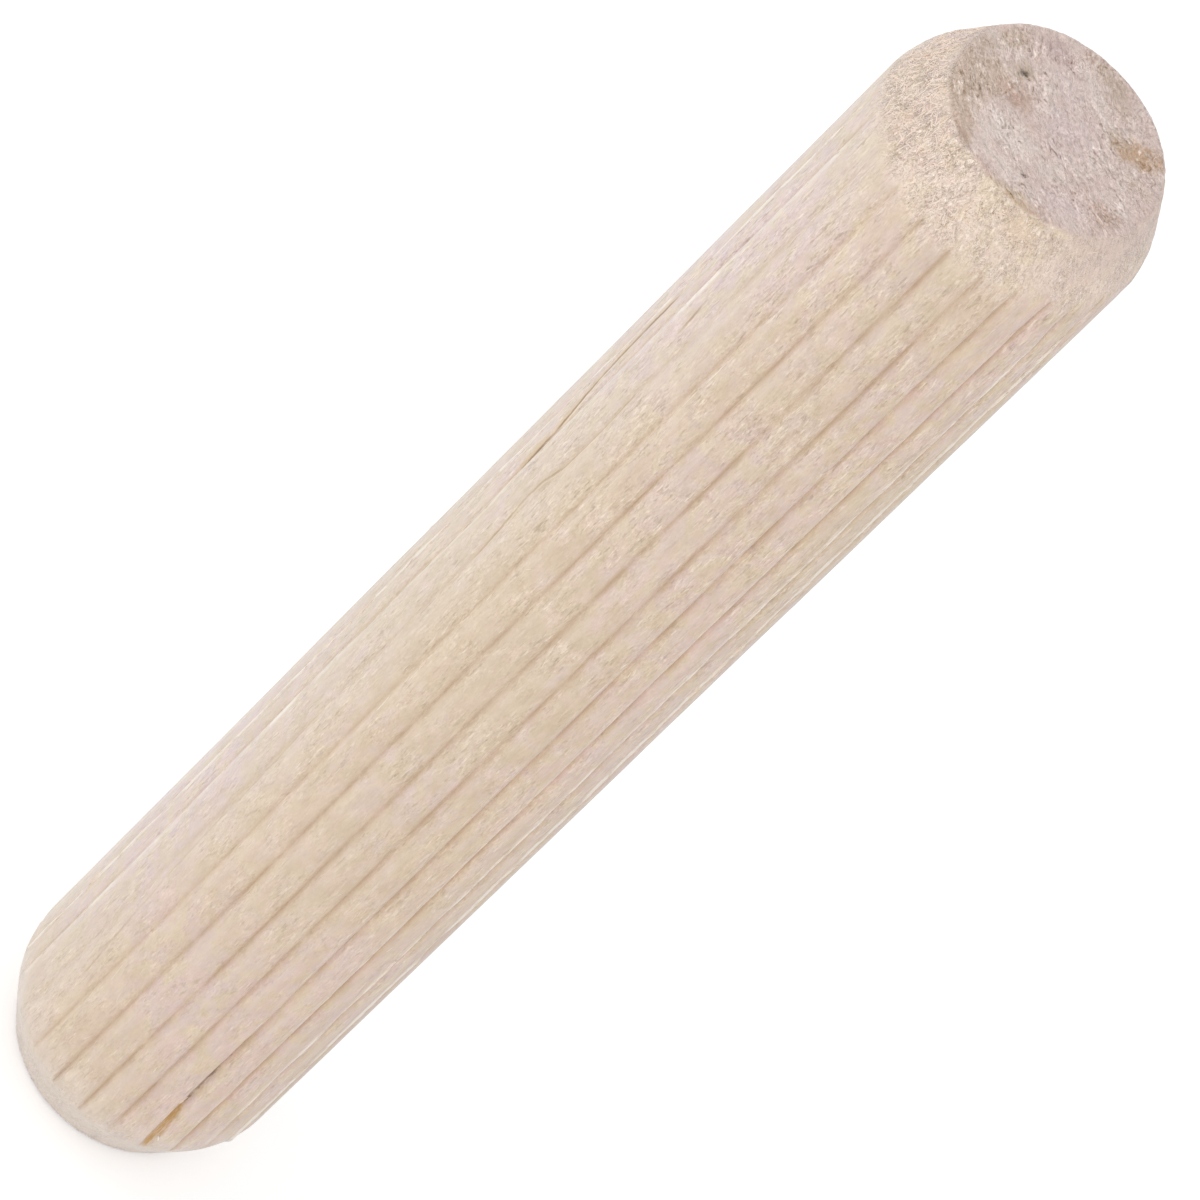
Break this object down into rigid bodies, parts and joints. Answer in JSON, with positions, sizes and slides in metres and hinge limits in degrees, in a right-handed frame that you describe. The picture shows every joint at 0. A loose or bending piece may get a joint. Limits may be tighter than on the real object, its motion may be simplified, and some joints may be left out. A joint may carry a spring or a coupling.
{
  "type": "dowel pin",
  "caption": "Straight fluted hardwood dowel pin with chamfered ends, pressed and glued into two matching holes to locate and join boards.",
  "frame": {"origin": "centre of the foot face, the lower of the two end faces", "axes": "+Z along the pin, from the foot face to the top face"},
  "size_m": [0.01, 0.01, 0.06],
  "materials": {
    "hardwood": "bare, unfinished"
  },
  "bodies": {
    "root": {"fluted_dowel": "hardwood"}
  },
  "joints": []
}
